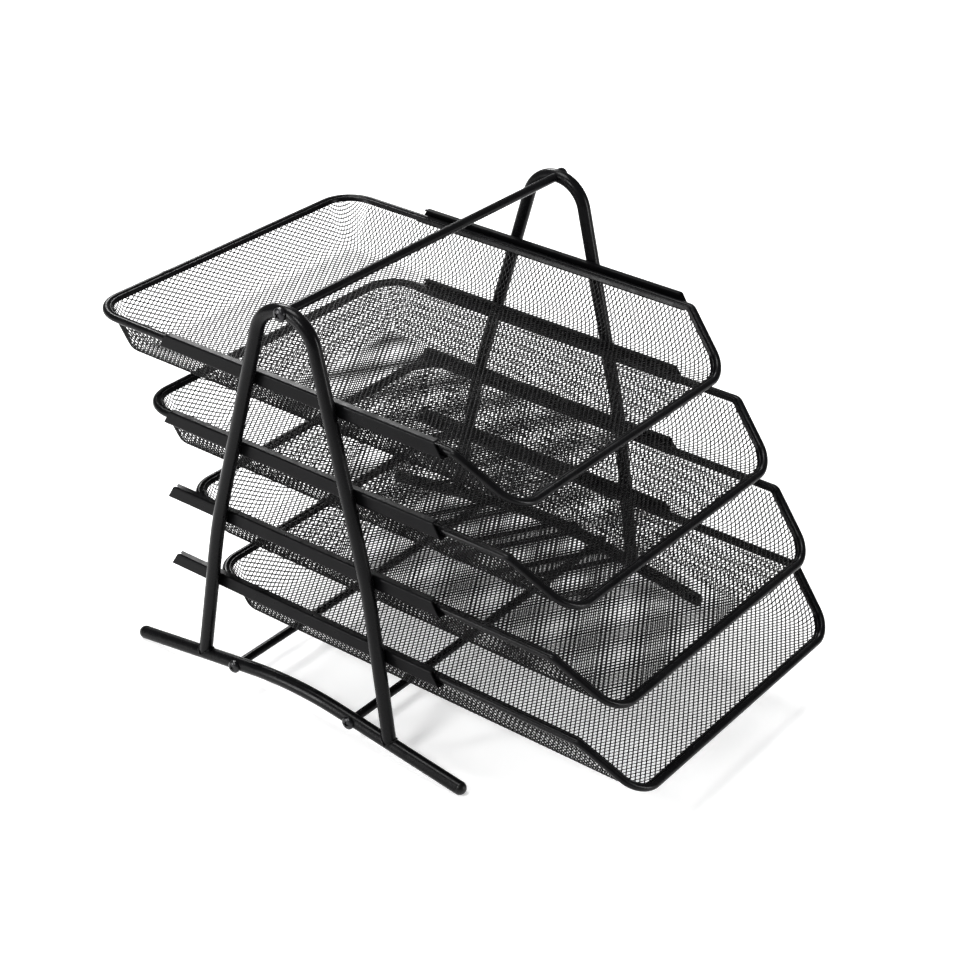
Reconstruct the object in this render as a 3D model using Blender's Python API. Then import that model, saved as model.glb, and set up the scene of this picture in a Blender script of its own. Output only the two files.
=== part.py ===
"""Four-tier letter tray: two bent-tube side frames, three cross rods, eight sheet rails and four sliding mesh trays.

Metres, +Z up. The trays open and slide towards -Y. The origin is on the floor, under the middle of the whole
object's outline. Lengths along Y in the constants are counted from the middle of the side frames.
"""

import math

import bmesh
import bpy
import numpy as np
from mathutils import Matrix, Vector

# Gaps and plate
GAP = 0.0003                # clearance between neighbours that touch or are welded on the real object
SHEET = 0.0010              # thickness of the rails' steel sheet

# Side frames: bent round tube
TUBE_R = 0.00475
TUBE_BORE_R = 0.00375
FRAME_X = 0.1435            # centre plane of each side frame
ARCH_PEAK = (0.0, 0.3747)   # where the straight upper legs would meet: (along Y, height)
ARCH_KNEE = (0.0652, 0.1264)
ARCH_FOOT = (0.0832, 0.0138)
CROWN_R = 0.0245            # bend at the top of the arch
KNEE_R = 0.4500             # slight bend low in each leg
BASE_HALF = 0.1420          # half length of the base tube, without its end caps
BASE_RISE = 0.0200          # height of the base tube's peak over its ends
BASE_BEND_R = 0.2900

# End caps of the base tubes
CAP_R = TUBE_R + GAP
CAP_DEPTH = 0.0048
CAP_STEM_R = TUBE_BORE_R - GAP
CAP_STEM_LENGTH = 0.0080
CAP_FLAT = 0.0003           # how much of the cap's round underside is cut away flat, to stand on

# Cross rods and their screws
ROD_R = 0.0031
ROD_Y = 0.0515              # the two low rods, in front of and behind the frame's middle
BORE_R = 0.0021
BORE_DEPTH = 0.0140
SCREW_SHANK_R = BORE_R - GAP
SCREW_SHANK_LENGTH = 0.0200
SCREW_HEAD_R = 0.0046
SCREW_HEAD_HEIGHT = 0.0029

# Rails: a C-shaped channel, open towards the tray
RAIL_OUT = FRAME_X - TUBE_R - GAP    # outer face of the rail
RAIL_TOP = 0.0065                    # over the middle of the tray's rim wire
RAIL_BOTTOM = -0.0038
RAIL_FOLD = 0.0009
RAIL_TOP_LIP = 0.0052                # width of the flange over the rim wire
RAIL_BOTTOM_LIP = 0.0074             # width of the flange that the rim wire slides on
RAIL_FRONT_TOP = -0.1120
RAIL_FRONT_BOTTOM = -0.1190
RAIL_BACK_TOP = 0.1110
RAIL_BACK_BOTTOM = 0.1170

# Trays, from the top one down
TIER_HEIGHT = (0.2430, 0.1860, 0.1283, 0.0744)    # middle of the rim wire over the floor
TIER_BACK = (0.1866, 0.1439, 0.1074, 0.0856)      # back of the rim, from the frame's middle
TRAY_LENGTH = 0.3500
TRAY_HALF_WIDTH = 0.1325
SLOPE_LENGTH = 0.0390       # the sides of the mouth slope down over this length
MOUTH_DROP = 0.0319         # how far the front of the rim is under its back
MOUTH_INSET = 0.0157        # how much further in the front corners are than the sides
WALL_LEAN = 0.40            # the straight part of a wall leans in by this much of its height
TRAY_FLOOR_DROP = 0.0335    # outside of the floor, under the rim at the back
WIRE_R = 0.0025
BACK_CORNER_R = 0.0250
MOUTH_BEND_R = 0.0070
MOUTH_CORNER_R = 0.0160
MESH = 0.0008               # thickness of the mesh basket
FLOOR_BEND_R = 0.0118       # outside bend between wall and floor
HEM_START = 0.0012          # how far down the basket's section the hem band starts
HEM_WIDTH = 0.0026
HEM = 0.0005                # thickness of the hem band

TUBE_RESOLUTION = 4
WIRE_RESOLUTION = 2
TURN_STEPS = 12
SLOPE_STEPS = 4             # parts of the rim's sloped run
BEND_STEPS = 5              # parts of the bend between wall and floor

# The middle of the side frames, so that the whole outline is centred on the origin
FRAME_Y = (TRAY_LENGTH - TIER_BACK[0] - TIER_BACK[-1]) / 2
BASE_TILT = math.atan2(BASE_RISE, BASE_HALF)
BASE_END_Z = math.hypot(CAP_DEPTH * math.sin(BASE_TILT), CAP_R * math.cos(BASE_TILT)) - CAP_FLAT
SIDES = {"left": -1, "right": 1}

# The wall's line: straight, then an arc that touches it and ends level with the floor
WALL_ANGLE = math.atan2(1.0, WALL_LEAN)
BEND_TOUCH = FLOOR_BEND_R * math.tan(WALL_ANGLE / 2)
BEND_DEPTH = TRAY_FLOOR_DROP - BEND_TOUCH * math.sin(WALL_ANGLE)    # where the arc starts
BEND_END = WALL_LEAN * TRAY_FLOOR_DROP + BEND_TOUCH                 # how far inwards it ends


def clear_scene():
    """Removes every object and mesh of the open file."""
    for obj in list(bpy.data.objects):
        bpy.data.objects.remove(obj)


def material(name, colour, roughness, metallic):
    """A Principled material."""
    found = bpy.data.materials.new(name)
    found.use_nodes = True
    shader = found.node_tree.nodes["Principled BSDF"]
    shader.inputs["Base Color"].default_value = (*colour, 1.0)
    shader.inputs["Roughness"].default_value = roughness
    shader.inputs["Metallic"].default_value = metallic
    return found


def add(name, mesh, finish=None):
    """Links a mesh to the scene as one named sub-part, with its finish."""
    mesh.name = name
    if finish:
        mesh.materials.append(finish)
    obj = bpy.data.objects.new(name, mesh)
    bpy.context.scene.collection.objects.link(obj)
    return obj


def mesh_of(form):
    """The mesh held by a bmesh, with its normals facing out."""
    bmesh.ops.recalc_face_normals(form, faces=form.faces)
    mesh = bpy.data.meshes.new("form")
    form.to_mesh(mesh)
    form.free()
    mesh.shade_smooth()
    mesh.set_sharp_from_angle(angle=math.radians(40))
    return mesh


def cut(obj, cutter):
    """Takes a guide object away from a sub-part."""
    cutter.hide_render = True
    cutter.display_type = "WIRE"
    boolean = obj.modifiers.new("cut_" + cutter.name, "BOOLEAN")
    boolean.operation = "DIFFERENCE"
    boolean.solver = "EXACT"
    boolean.object = cutter


def rounded(corners, radii, steps, closed):
    """A path through corner points with its corners turned into arcs. Returns the points and their directions.

    Each arc touches both of its straight runs at radius times the tangent of half the turn from the corner.
    """
    corners = [Vector(c) for c in corners]
    count = len(corners)
    points = []
    directions = []
    for k, corner in enumerate(corners):
        before = (corner - corners[k - 1]).normalized()
        after = (corners[(k + 1) % count] - corner).normalized()
        if not closed and k in (0, count - 1):
            points.append(corner)
            directions.append(after if k == 0 else before)
            continue
        turn = before.angle(after, 0.0)
        reach = radii[k] * math.tan(turn / 2)
        centre_side = (after - before).normalized() if turn > 1e-6 else Vector()
        centre = corner + centre_side * (radii[k] / math.cos(turn / 2))
        for step in range(steps[k] + 1):
            share = step / steps[k]
            heading = before.slerp(after, share) if turn > 1e-6 else before
            if turn > 1e-6:
                start = corner - before * reach - centre
                axis = before.cross(after).normalized()
                points.append(centre + Matrix.Rotation(turn * share, 3, axis) @ start)
            else:
                points.append(corner)
            directions.append(heading)
    return points, directions


def tube(points, radius, resolution, closed=False):
    """A round bar along a path, as a mesh."""
    curve = bpy.data.curves.new("path", "CURVE")
    curve.dimensions = "3D"
    curve.bevel_depth = radius
    curve.bevel_resolution = resolution
    curve.use_fill_caps = not closed
    spline = curve.splines.new("POLY")
    spline.points.add(len(points) - 1)
    for target, point in zip(spline.points, points):
        target.co = (*point, 1.0)
    spline.use_cyclic_u = closed
    holder = bpy.data.objects.new("path", curve)
    bpy.context.scene.collection.objects.link(holder)
    bpy.context.view_layer.update()
    mesh = bpy.data.meshes.new_from_object(holder.evaluated_get(bpy.context.evaluated_depsgraph_get()))
    bpy.data.objects.remove(holder)
    form = bmesh.new()
    form.from_mesh(mesh)
    bmesh.ops.remove_doubles(form, verts=form.verts, dist=1e-6)
    return mesh_of(form)


def turned(profile, place):
    """A solid turned round the +X axis from (along, radius) points that start and end on it, then placed."""
    form = bmesh.new()
    verts = [form.verts.new((along, 0.0, radius)) for along, radius in profile]
    edges = [form.edges.new(pair) for pair in zip(verts, verts[1:])]
    half_facet = Matrix.Rotation(math.pi / TURN_STEPS, 4, "X")
    bmesh.ops.transform(form, matrix=half_facet, verts=form.verts)
    bmesh.ops.spin(form, geom=verts + edges, cent=(0, 0, 0), axis=(1, 0, 0), angle=math.tau, steps=TURN_STEPS)
    bmesh.ops.remove_doubles(form, verts=form.verts, dist=1e-5)
    bmesh.ops.transform(form, matrix=place, verts=form.verts)
    return form


def cross_cylinder(name, radius, start_x, end_x, y, z):
    """A guide cylinder along X."""
    place = Matrix.Translation((start_x, y, z))
    length = end_x - start_x
    return add(name, mesh_of(turned([(0, 0), (0, radius), (length, radius), (length, 0)], place)))


def base_height(y):
    """Height of the base tube's centre line on its straight stretches, y from the frame's middle."""
    return BASE_END_Z + BASE_RISE * (1 - abs(y) / BASE_HALF)


def side_path(corners, radii, steps, side):
    """A rounded path in one side frame's plane, from (along Y, height) corners."""
    placed = [(side * FRAME_X, FRAME_Y + y, z) for y, z in corners]
    return rounded(placed, radii, steps, closed=False)


def build_side_frame(label, side, paint, plastic):
    """The arch tube, the base tube that it stands on, and the two caps that close the base tube's ends."""
    mirrored = lambda point: (-point[0], point[1])
    base_corners = [(BASE_HALF, BASE_END_Z), (0.0, BASE_END_Z + BASE_RISE), (-BASE_HALF, BASE_END_Z)]
    base_points, base_headings = side_path(base_corners, (0, BASE_BEND_R, 0), (0, 5, 0), side)
    base = add(f"{label}_base_tube", tube(base_points, TUBE_R, TUBE_RESOLUTION), paint)
    reach = 0.002
    bore_points = [base_points[0] - base_headings[0] * reach, *base_points[1:-1]]
    bore_points.append(base_points[-1] + base_headings[-1] * reach)
    cut(base, add(f"{label}_base_bore_guide", tube(bore_points, TUBE_BORE_R, TUBE_RESOLUTION)))

    arch_corners = [ARCH_FOOT, ARCH_KNEE, ARCH_PEAK, mirrored(ARCH_KNEE), mirrored(ARCH_FOOT)]
    arch_points, _ = side_path(arch_corners, (0, KNEE_R, CROWN_R, KNEE_R, 0), (0, 3, 10, 3, 0), side)
    arch = add(f"{label}_arch_tube", tube(arch_points, TUBE_R, TUBE_RESOLUTION), paint)
    saddle = add(f"{label}_saddle_guide", tube(bore_points, TUBE_R + GAP, TUBE_RESOLUTION))
    cut(arch, saddle)
    crown_z = handle_height()
    hole_start = side * FRAME_X - 2 * TUBE_R
    hole_end = side * FRAME_X + 2 * TUBE_R
    cut(arch, cross_cylinder(f"{label}_crown_hole_guide", BORE_R, hole_start, hole_end, FRAME_Y, crown_z))
    for place, y in (("front", -ROD_Y), ("back", ROD_Y)):
        guide = f"{label}_{place}_hole_guide"
        cut(base, cross_cylinder(guide, BORE_R, hole_start, hole_end, FRAME_Y + y, base_height(y)))

    for place, end, heading in (("back", 0, -1), ("front", -1, 1)):
        build_cap(f"{label}_{place}_cap", base_points[end], base_headings[end] * heading, plastic)


def build_cap(name, tube_end, outward, plastic):
    """A domed plug: a stem in the tube, a round cap over its end, and a small flat cut level with the floor."""
    dome = [(CAP_DEPTH * math.sin(t), CAP_R * math.cos(t)) for t in np.linspace(0, math.pi / 2, 6)]
    stem = [(-CAP_STEM_LENGTH, 0), (-CAP_STEM_LENGTH, CAP_STEM_R), (GAP, CAP_STEM_R)]
    profile = stem + [(along + GAP, radius) for along, radius in dome[:-1]] + [(CAP_DEPTH + GAP, 0)]
    place = Matrix.Translation(tube_end) @ outward.to_track_quat("X", "Z").to_matrix().to_4x4()
    form = turned(profile, place)
    parts = list(form.verts) + list(form.edges) + list(form.faces)
    level = bmesh.ops.bisect_plane(form, geom=parts, plane_co=(0, 0, 0), plane_no=(0, 0, -1), clear_outer=True)
    rim = [part for part in level["geom_cut"] if isinstance(part, bmesh.types.BMEdge)]
    bmesh.ops.edgeloop_fill(form, edges=rim)
    add(name, mesh_of(form), plastic)


def handle_height():
    """Height of the arch tube's centre line at the crown."""
    half_angle = math.atan2(ARCH_KNEE[0], ARCH_PEAK[1] - ARCH_KNEE[1])
    return ARCH_PEAK[1] - CROWN_R * (1 / math.sin(half_angle) - 1)


def build_rods(paint, plated):
    """The handle bar between the crowns and the two low rods between the base tubes, each with its two screws."""
    low = base_height(ROD_Y)
    rods = (
        ("handle_bar", "handle", 0.0, handle_height()),
        ("front_cross_rod", "front", -ROD_Y, low),
        ("back_cross_rod", "back", ROD_Y, low),
    )
    end_x = FRAME_X - TUBE_R - GAP
    for name, screw_label, along, z in rods:
        y = FRAME_Y + along
        place = Matrix.Translation((-end_x, y, z))
        profile = [(0, 0), (0, ROD_R), (2 * end_x, ROD_R), (2 * end_x, 0)]
        rod = add(name, mesh_of(turned(profile, place)), paint)
        for label, side in SIDES.items():
            inner = side * (end_x - BORE_DEPTH)
            outer = side * (end_x + 0.001)
            cutter = f"{name}_{label}_bore_guide"
            cut(rod, cross_cylinder(cutter, BORE_R, min(inner, outer), max(inner, outer), y, z))
            build_screw(f"{label}_{screw_label}_screw", side, y, z, plated)


def build_screw(name, side, y, z, plated):
    """A round-headed machine screw through a side frame's tube into a rod's end."""
    head = [(0, SCREW_HEAD_R), (0.25, SCREW_HEAD_R), (0.7, 0.78 * SCREW_HEAD_R), (0.93, 0.42 * SCREW_HEAD_R), (1, 0)]
    profile = [(-SCREW_SHANK_LENGTH, 0), (-SCREW_SHANK_LENGTH, SCREW_SHANK_R), (0, SCREW_SHANK_R)]
    profile += [(share * SCREW_HEAD_HEIGHT, radius) for share, radius in head]
    turn = Matrix.Rotation(math.pi, 4, "Z") if side < 0 else Matrix()
    place = Matrix.Translation((side * (FRAME_X + TUBE_R + GAP), y, z)) @ turn
    add(name, mesh_of(turned(profile, place)), plated)


def build_rail(name, side, rim_z, paint):
    """One C-shaped rail: its outer skin is a strip folded along Y, given its thickness inwards.

    The lower edge is longer than the upper one at both ends, so the ends of its face are cut on a slant.
    """
    top = rim_z + RAIL_TOP
    bottom = rim_z + RAIL_BOTTOM
    section = [
        (RAIL_OUT - RAIL_TOP_LIP, top),
        (RAIL_OUT - RAIL_FOLD, top),
        (RAIL_OUT, top - RAIL_FOLD),
        (RAIL_OUT, bottom + RAIL_FOLD),
        (RAIL_OUT - RAIL_FOLD, bottom),
        (RAIL_OUT - RAIL_BOTTOM_LIP, bottom),
    ]
    form = bmesh.new()
    rows = []
    for x, z in section:
        share = (top - z) / (top - bottom)
        front = RAIL_FRONT_TOP + (RAIL_FRONT_BOTTOM - RAIL_FRONT_TOP) * share
        back = RAIL_BACK_TOP + (RAIL_BACK_BOTTOM - RAIL_BACK_TOP) * share
        rows.append([form.verts.new((side * x, FRAME_Y + y, z)) for y in (front, back)])
    for upper, lower in zip(rows, rows[1:]):
        form.faces.new((upper[0], upper[1], lower[1], lower[0]))
    rail = add(name, outward_sheet(form, Vector((side, 0, 0))), paint)
    thicken(rail, SHEET)


def outward_sheet(form, outward):
    """The mesh of an open sheet, with its faces turned so that most of its area looks along outward."""
    bmesh.ops.recalc_face_normals(form, faces=form.faces)
    facing = sum(face.normal.dot(outward) * face.calc_area() for face in form.faces)
    if facing < 0:
        bmesh.ops.reverse_faces(form, faces=form.faces)
    mesh = bpy.data.meshes.new("sheet")
    form.to_mesh(mesh)
    form.free()
    mesh.shade_smooth()
    mesh.set_sharp_from_angle(angle=math.radians(40))
    return mesh


def thicken(obj, thickness):
    """Gives a sheet its thickness, on the side away from its faces' normals."""
    solidify = obj.modifiers.new("thickness", "SOLIDIFY")
    solidify.thickness = thickness
    solidify.offset = -1
    solidify.use_even_offset = True


def face_angle(depth):
    """Slope of the basket's outer face at a depth under the rim's level: the wall's, or less on the bend."""
    if depth <= BEND_DEPTH:
        return WALL_ANGLE
    return math.acos(1 - (TRAY_FLOOR_DROP - depth) / FLOOR_BEND_R)


def wall_inset(depth):
    """How far the basket's outer face has come in at a depth under the rim's level."""
    if depth <= BEND_DEPTH:
        return WALL_LEAN * depth
    return BEND_END - FLOOR_BEND_R * math.sin(face_angle(depth))


def eased(inward):
    """In the mouth's corners, turns a level inward direction later, so that rows of points along them don't cross."""
    if inward.y <= 0:
        return inward
    angle = math.atan2(inward.y, abs(inward.x))
    angle *= 0.6 + 0.4 * angle / (math.pi / 2)
    return Vector((math.copysign(math.cos(angle), inward.x), math.sin(angle), 0))


def rim_loop(back_y, rim_z):
    """The rim wire's centre line and, at each of its points, the level direction towards the tray's inside.

    The loop starts out as wide at its front as at its back. Then each point moves in, in step with its depth.
    """
    front_y = back_y - TRAY_LENGTH
    bend_y = front_y + SLOPE_LENGTH
    radii = (BACK_CORNER_R, MOUTH_BEND_R, MOUTH_CORNER_R, MOUTH_CORNER_R, MOUTH_BEND_R, BACK_CORNER_R)
    steps = (5, 3, 5, 5, 3, 5)

    def corners(low_z):
        half = [(TRAY_HALF_WIDTH, back_y, rim_z), (TRAY_HALF_WIDTH, bend_y, rim_z), (TRAY_HALF_WIDTH, front_y, low_z)]
        return half + [(-x, y, z) for x, y, z in reversed(half)]

    points, _ = rounded(corners(rim_z - MOUTH_DROP), radii, steps, closed=True)
    _, plan_headings = rounded(corners(rim_z), radii, steps, closed=True)
    inward = [eased(Vector((heading.y, -heading.x, 0))) for heading in plan_headings]

    right_slope = steps[0] + steps[1] + 1
    left_slope = right_slope + steps[2] + steps[3] + 2
    for start in (left_slope, right_slope):
        for values in (points, inward):
            first, last = values[start], values[start + 1]
            values[start + 1:start + 1] = [first.lerp(last, k / SLOPE_STEPS) for k in range(1, SLOPE_STEPS)]
    for point in points:
        point.x -= math.copysign(MOUTH_INSET * (rim_z - point.z) / MOUTH_DROP, point.x)
    return points, inward


def basket_section(depth):
    """The basket's outer face under one point of the rim, as (inward, up) offsets from the wire's middle.

    The face stands just inside the wire, and is the part of the wall's line that lies deeper than that point.
    """
    start = WIRE_R + GAP
    on_wall = depth < BEND_DEPTH - 0.001
    angles = np.linspace(face_angle(depth), 0, BEND_STEPS + (1 if on_wall else 2))[0 if on_wall else 1:]
    section = [(start, 0.0010), (start, 0.0)]
    for angle in angles:
        inward = start + BEND_END - FLOOR_BEND_R * math.sin(angle) - wall_inset(depth)
        section.append((inward, depth - TRAY_FLOOR_DROP + FLOOR_BEND_R * (1 - math.cos(angle))))
    return section


def along_section(section, distances, lift):
    """Points at given distances down a section, lifted off it towards the tray's inside."""
    section = np.array(section)
    run = np.concatenate([[0], np.cumsum(np.linalg.norm(np.diff(section, axis=0), axis=1))])
    spots = np.stack([np.interp(distances, run, section[:, axis]) for axis in (0, 1)], axis=1)
    ahead = np.gradient(spots, axis=0)
    ahead /= np.linalg.norm(ahead, axis=1)[:, None]
    normal = np.stack([-ahead[:, 1], ahead[:, 0]], axis=1)
    return spots + lift * normal


def loop_sheet(points, inward, sections, floor):
    """A sheet with one row of vertices under each point of the loop, and the middle filled in if it has a floor."""
    form = bmesh.new()
    rows = []
    for point, inside, section in zip(points, inward, sections):
        rows.append([form.verts.new(point + inside * a + Vector((0, 0, h))) for a, h in section])
    for row, following in zip(rows, rows[1:] + rows[:1]):
        for level in range(len(row) - 1):
            form.faces.new((row[level], following[level], following[level + 1], row[level + 1]))
    if floor:
        form.faces.new([row[-1] for row in rows])
    return form


def build_tray(number, back_y, rim_z, paint, mesh_paint):
    """One sliding tray: the rim wire, the mesh basket inside it, and the hem band that holds the mesh's edge."""
    points, inward = rim_loop(FRAME_Y + back_y, rim_z)
    add(f"tray_{number}_rim", tube(points, WIRE_R, WIRE_RESOLUTION, closed=True), paint)

    sections = [basket_section(rim_z - point.z) for point in points]
    down = Vector((0, 0, -1))
    basket = add(f"tray_{number}_basket", outward_sheet(loop_sheet(points, inward, sections, True), down), mesh_paint)
    thicken(basket, MESH)

    lift = MESH + 2 * GAP + HEM
    distances = np.linspace(HEM_START, HEM_START + HEM_WIDTH, 4)
    bands = []
    for section in sections:
        toe, floor = section[-1]
        bands.append(along_section(section + [(toe + HEM_WIDTH, floor)], distances, lift))
    hem_form = loop_sheet(points, inward, bands, False)
    hem_mesh = bpy.data.meshes.new("hem")
    bmesh.ops.recalc_face_normals(hem_form, faces=hem_form.faces)
    middle = Vector((0, FRAME_Y + back_y - TRAY_LENGTH / 2, rim_z))
    facing = sum(face.normal.dot(middle - face.calc_center_median()) for face in hem_form.faces)
    if facing < 0:
        bmesh.ops.reverse_faces(hem_form, faces=hem_form.faces)
    hem_form.to_mesh(hem_mesh)
    hem_form.free()
    hem_mesh.shade_smooth()
    hem = add(f"tray_{number}_hem", hem_mesh, paint)
    thicken(hem, HEM)


def main():
    """Builds the whole letter tray."""
    clear_scene()
    paint = material("black_powder_coat", (0.018, 0.018, 0.020), 0.38, 0.35)
    mesh_paint = material("black_mesh_coat", (0.022, 0.022, 0.024), 0.45, 0.35)
    plastic = material("black_plastic", (0.020, 0.020, 0.021), 0.42, 0.0)
    plated = material("black_screw_finish", (0.020, 0.020, 0.022), 0.30, 0.8)

    for label, side in SIDES.items():
        build_side_frame(label, side, paint, plastic)
    build_rods(paint, plated)
    for number, (rim_z, back_y) in enumerate(zip(TIER_HEIGHT, TIER_BACK), start=1):
        for label, side in SIDES.items():
            build_rail(f"{label}_rail_{number}", side, rim_z, paint)
        build_tray(number, back_y, rim_z, paint, mesh_paint)


main()
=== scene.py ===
"""Mesh letter tray, laid out as a Blender add-on: its surfaces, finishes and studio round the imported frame.

Every piece is worked out in metres in the frame's own space: the trays open towards -Y and +Z is up.
"""

import math

import bpy
import numpy as np
from bpy.props import FloatProperty, FloatVectorProperty, PointerProperty
from mathutils import Matrix, Vector


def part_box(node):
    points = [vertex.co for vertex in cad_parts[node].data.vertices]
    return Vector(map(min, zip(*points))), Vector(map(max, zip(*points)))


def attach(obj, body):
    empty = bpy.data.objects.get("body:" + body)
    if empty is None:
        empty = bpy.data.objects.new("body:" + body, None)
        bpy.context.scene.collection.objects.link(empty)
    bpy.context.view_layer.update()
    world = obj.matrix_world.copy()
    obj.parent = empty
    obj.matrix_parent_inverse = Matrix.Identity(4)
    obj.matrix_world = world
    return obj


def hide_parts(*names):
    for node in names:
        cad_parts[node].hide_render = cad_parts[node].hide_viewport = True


bl_info = {
    "name": "Mesh Letter Tray",
    "version": (1, 0, 0),
    "blender": (4, 5, 0),
    "location": "3D View > Sidebar > Letter Tray",
    "description": "Builds a tiered mesh letter tray with its paint, floor, lights and camera",
    "category": "Add Mesh",
}

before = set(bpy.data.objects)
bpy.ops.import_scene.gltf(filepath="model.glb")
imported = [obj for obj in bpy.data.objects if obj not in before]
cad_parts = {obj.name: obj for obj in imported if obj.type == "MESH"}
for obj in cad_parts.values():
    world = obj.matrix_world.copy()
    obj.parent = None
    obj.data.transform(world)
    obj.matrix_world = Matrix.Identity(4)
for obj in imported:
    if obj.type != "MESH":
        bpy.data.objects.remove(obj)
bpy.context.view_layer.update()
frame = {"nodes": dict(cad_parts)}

SIDES = {"left": -1.0, "right": 1.0}
TIERS = (1, 2, 3, 4)
ACROSS = np.array([1.0, 0.0, 0.0])
UP = np.array([0.0, 0.0, 1.0])
FRAME_Y = sum(corner.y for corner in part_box("handle_bar")) / 2

TUBE_SIDES = 40             # sides of the round sections
ROD_SIDES = 32
WIRE_SIDES = 28
BEAD_SIDES = 12
TUBE_STEP = 0.012           # longest step along a straight tube, a rim wire and the rim's centre line
WIRE_STEP = 0.006
RIM_STEP = 0.003
MESH_LIFT = 0.0002          # how far the mesh lies inside the basket's outer face
MOUTH_FADE = 0.008          # how far from the mouth's edge the mesh is still pushed in to meet the rim wire
RIM_WELDS = (-0.062, 0.048, -0.035, 0.071)      # where each tier's rim has its butt weld, across the back run

# Name, place, width and height, and power in watts of each area light
SOFTBOXES = (
    ("overhead", (-0.2, 0.5, 2.2), (0.9, 0.9), 46.0),
    ("left_key", (-1.9, 0.1, 1.7), (0.5, 0.5), 28.0),
    ("back_key", (1.3, 1.6, 1.6), (0.7, 0.35), 40.0),
    ("left_strip", (-1.7, 1.0, 0.55), (0.25, 1.0), 24.0),
    ("right_strip", (0.6, -1.9, 0.55), (0.25, 1.0), 24.0),
)
LIGHTS_FACE = (0.0, 0.0, 0.15)


# ---------------------------------------------------------------- settings


def length(name, description, default):
    """A property in metres."""
    return FloatProperty(
        name=name, description=description, default=default, subtype="DISTANCE", unit="LENGTH"
    )


def spot(name, description, default):
    """A point or a set of lengths in metres."""
    return FloatVectorProperty(
        name=name, description=description, default=default, size=len(default), unit="LENGTH", precision=5
    )


def colour(name, description, default):
    """A linear colour."""
    return FloatVectorProperty(
        name=name, description=description, default=default, size=3, min=0.0, max=1.0, subtype="COLOR"
    )


def share(name, description, default):
    """A number from 0 to 1."""
    return FloatProperty(
        name=name, description=description, default=default, min=0.0, max=1.0, subtype="FACTOR"
    )


def strength(name, description, default):
    """A strength of light, from 0 up."""
    return FloatProperty(name=name, description=description, default=default, min=0.0)


def angle(name, description, degrees):
    """An angle, given in degrees and kept in radians."""
    return FloatProperty(
        name=name, description=description, default=math.radians(degrees), subtype="ANGLE", unit="ROTATION"
    )


class FrameSizes(bpy.types.PropertyGroup):
    """Sizes of the bent tubes, the rods between them and their screws. Heights are over the floor."""

    tube_radius: length("Tube radius", "Outside radius of the bent tubes", 0.00475)
    centre_x: length("Side frame offset", "Distance of each side frame's plane from the middle", 0.1435)
    peak: spot("Arch peak", "Where the straight upper legs would meet: along Y and height", (0.0, 0.3747))
    knee: spot("Arch knee", "Where each leg bends a little", (0.0652, 0.1264))
    foot: spot("Arch foot", "Lower end of each leg", (0.0832, 0.0138))
    crown_radius: length("Crown bend", "Bend radius at the top of the arch", 0.0245)
    knee_radius: length("Knee bend", "Bend radius low in each leg", 0.45)
    base_end: spot("Base end", "End of the base tube's centre line: along Y and height", (0.142, 0.004745))
    base_rise: length("Base rise", "Height of the base tube's peak over its ends", 0.0200)
    base_bend: length("Base bend", "Bend radius in the middle of the base tube", 0.29)
    cap_depth: length("Cap depth", "How far the end caps stand out of the base tube", 0.0048)
    rod_radius: length("Rod radius", "Radius of the cross rods", 0.0031)
    screw_radius: length("Screw head radius", "Radius of the screw heads", 0.0046)
    screw_height: length("Screw head height", "Height of the screw heads", 0.0029)
    weld_radius: length("Weld radius", "Thickness of the weld beads", 0.0008)


class RailSizes(bpy.types.PropertyGroup):
    """Sizes of the sheet rails."""

    sheet: length("Sheet", "Thickness of the steel sheet", 0.0010)
    fold: length("Fold radius", "Outside radius of the folds", 0.0016)
    top_lip: length("Upper flange", "Width of the flange over the rim wire", 0.0052)
    bottom_lip: length("Lower flange", "Width of the flange that the rim wire slides on", 0.0074)
    notch: length("Notch", "Depth of the notch in the upper flange's back end", 0.0030)
    slant: spot("End slants", "How much shorter the top edge is at the front and at the back", (0.007, 0.006))


class TraySizes(bpy.types.PropertyGroup):
    """Sizes that the trays share."""

    wire_radius: length("Wire radius", "Radius of the rim wire", 0.0025)
    back_corner: length("Back corner", "Bend radius of the rim's back corners", 0.025)
    mouth_bend: length("Mouth bend", "Bend radius where the rim starts to slope", 0.007)
    mouth_corner: length("Mouth corner", "Bend radius of the rim's front corners", 0.016)
    slope: length("Slope length", "Length over which the rim slopes down", 0.039)
    mouth_inset: length("Mouth inset", "How much further in the front corners are than the sides", 0.0157)
    lean: share("Wall lean", "How far the straight part of a wall leans in, as a share of its height", 0.40)
    floor_drop: length("Floor drop", "Outside of the floor under the middle of the rim wire", 0.0335)
    gap: length("Basket gap", "Gap between the rim wire and the basket", 0.0003)
    floor_bend: length("Floor bend", "Outside radius of the bend between wall and floor", 0.0118)
    hem_width: length("Hem width", "Width of the folded strip that holds the edge of the mesh", 0.0017)
    hem_sheet: length("Hem sheet", "Thickness of the folded strip", 0.0004)


class MeshSizes(bpy.types.PropertyGroup):
    """Sizes of the expanded mesh."""

    wide: length("Diamond width", "Distance between the strands' crossings across the tray", 0.0060)
    long: length("Diamond length", "Distance between the strands' crossings along the tray", 0.0035)
    hole: share("Hole", "Size of a hole as a share of the distance between crossings", 0.70)
    sheet: length("Sheet", "Thickness of a strand", 0.0008)


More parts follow.
